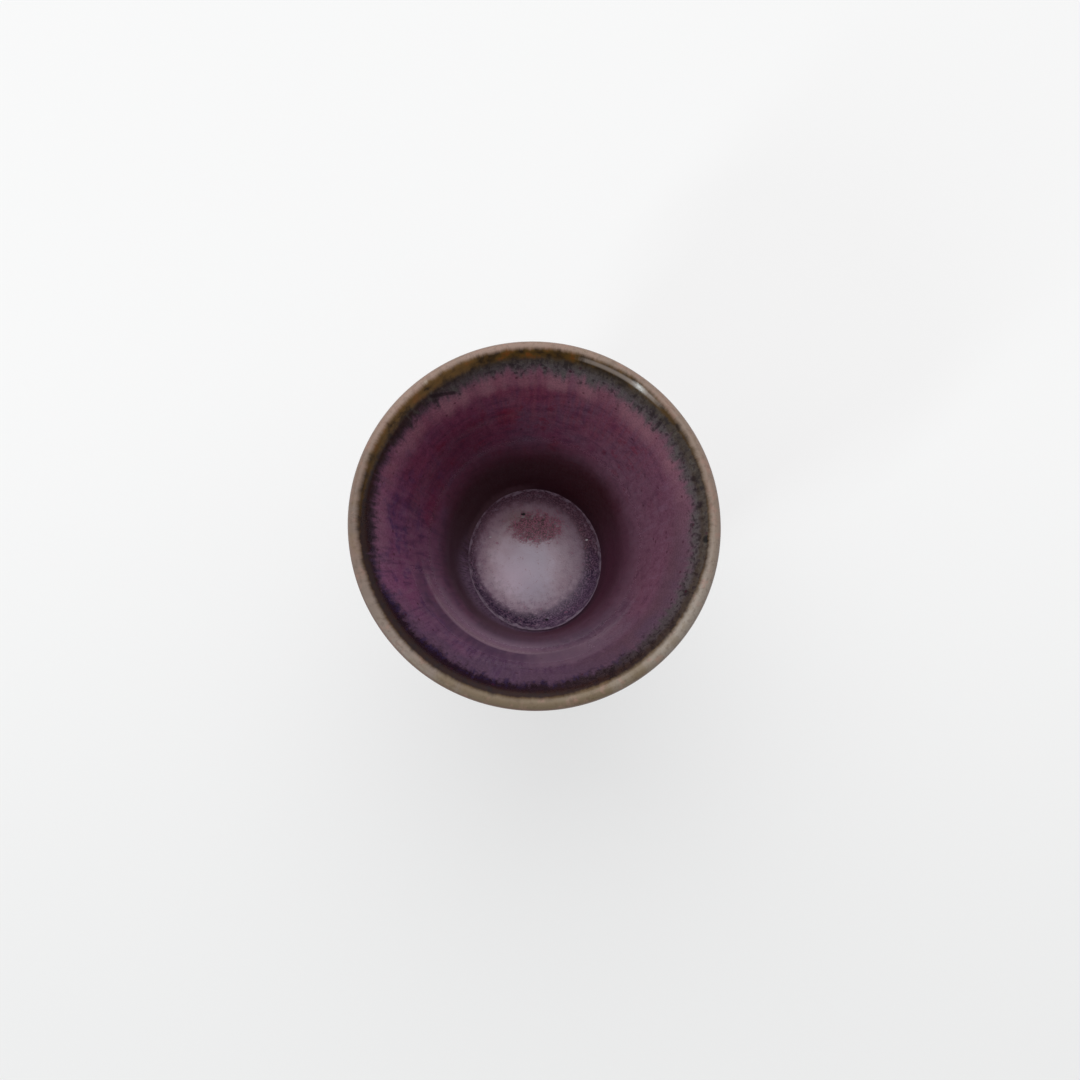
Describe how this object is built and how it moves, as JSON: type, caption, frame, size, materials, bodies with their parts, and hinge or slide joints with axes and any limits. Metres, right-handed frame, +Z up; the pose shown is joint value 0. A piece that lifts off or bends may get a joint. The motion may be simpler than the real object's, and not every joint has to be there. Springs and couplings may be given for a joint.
{
  "type": "sake cup",
  "caption": "Small flared stoneware sake cup with a turned foot ring, a purple glaze inside and out, a dark band under the lip and a pale pool in the well.",
  "frame": {"origin": "on the table under the middle of the foot", "axes": "+Z points up, out of the mouth, along the axis on which the cup was thrown"},
  "size_m": [0.065, 0.065, 0.056],
  "materials": {
    "stoneware": "bare toasted stoneware, matte and slightly gritty",
    "foot_stoneware": "bare turned stoneware, matte, with fine tool lines",
    "pool_glaze": "glossy, pale lilac with a red speckled patch and a dark edge",
    "purple_glaze": "glossy, purple and crimson, with fine speckle",
    "dark_glaze": "glossy, slate to iron brown, with streaks that run down",
    "tan_glaze": "glossy and thin, tan to pinkish grey, with an amber lower edge",
    "outer_glaze": "glossy, amber under the lip and purple below, with a thick rolled lower edge"
  },
  "bodies": {
    "root": {"clay_body": "stoneware", "foot_ring": "foot_stoneware", "well_glaze": "pool_glaze", "wall_glaze": "purple_glaze", "rim_band_glaze": "dark_glaze", "lip_glaze": "tan_glaze", "outer_glaze": "outer_glaze"}
  },
  "joints": []
}
